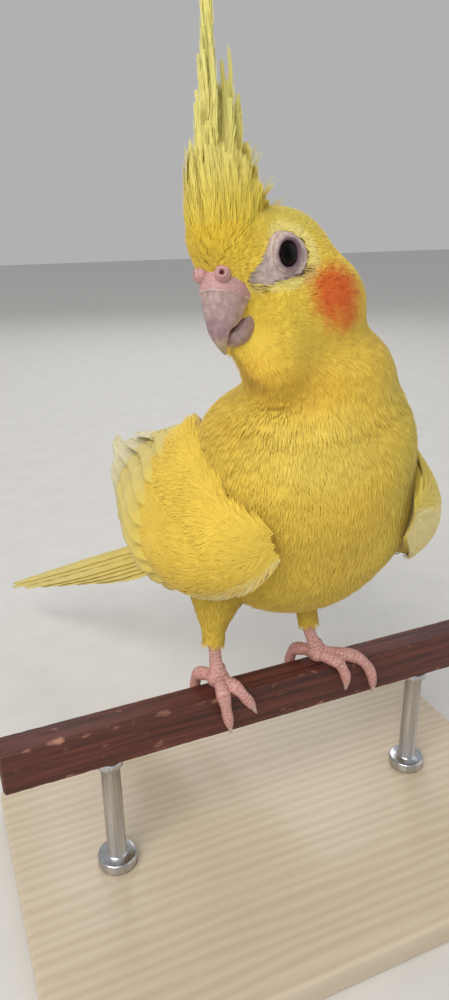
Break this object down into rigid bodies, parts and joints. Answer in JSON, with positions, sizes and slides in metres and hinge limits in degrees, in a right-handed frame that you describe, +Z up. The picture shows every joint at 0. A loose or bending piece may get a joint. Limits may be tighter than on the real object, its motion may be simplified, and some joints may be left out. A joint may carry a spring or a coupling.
{
  "type": "cockatiel",
  "caption": "Life-size still model of a yellow cockatiel with a raised crest and its head turned, gripping a short length of perch on a plain stand.",
  "frame": {"origin": "middle of the stand base's underside", "axes": "+Z up, +X along the perch towards the bird's left, +Y towards the tail; the head is turned to the bird's right, towards -X"},
  "size_m": [0.15, 0.2089, 0.2156],
  "materials": {
    "yellow_plumage": "soft small feathers",
    "flight_feathers": "smooth vanes with a slight sheen",
    "horn": "satin horn",
    "bare_skin": "matt, finely scaled",
    "eye": "wet gloss",
    "perch_wood": "dark stained, worn",
    "stand_wood": "clear satin lacquer",
    "stand_steel": "brushed"
  },
  "bodies": {
    "root": {"head": "yellow_plumage", "neck": "yellow_plumage", "torso": "yellow_plumage", "thigh_left": "yellow_plumage", "thigh_right": "yellow_plumage", "wing_left": "flight_feathers", "wing_right": "flight_feathers", "tail": "flight_feathers", "beak_upper": "horn", "beak_lower": "horn", "cere": "bare_skin", "eye_left": "eye", "eye_right": "eye", "foot_left": "bare_skin", "foot_right": "bare_skin", "claw_left_1": "horn", "claw_left_2": "horn", "claw_left_3": "horn", "claw_left_4": "horn", "claw_right_1": "horn", "claw_right_2": "horn", "claw_right_3": "horn", "claw_right_4": "horn", "perch": "perch_wood", "stand_base": "stand_wood", "stand_rod_left": "stand_steel", "stand_rod_right": "stand_steel"}
  },
  "joints": []
}
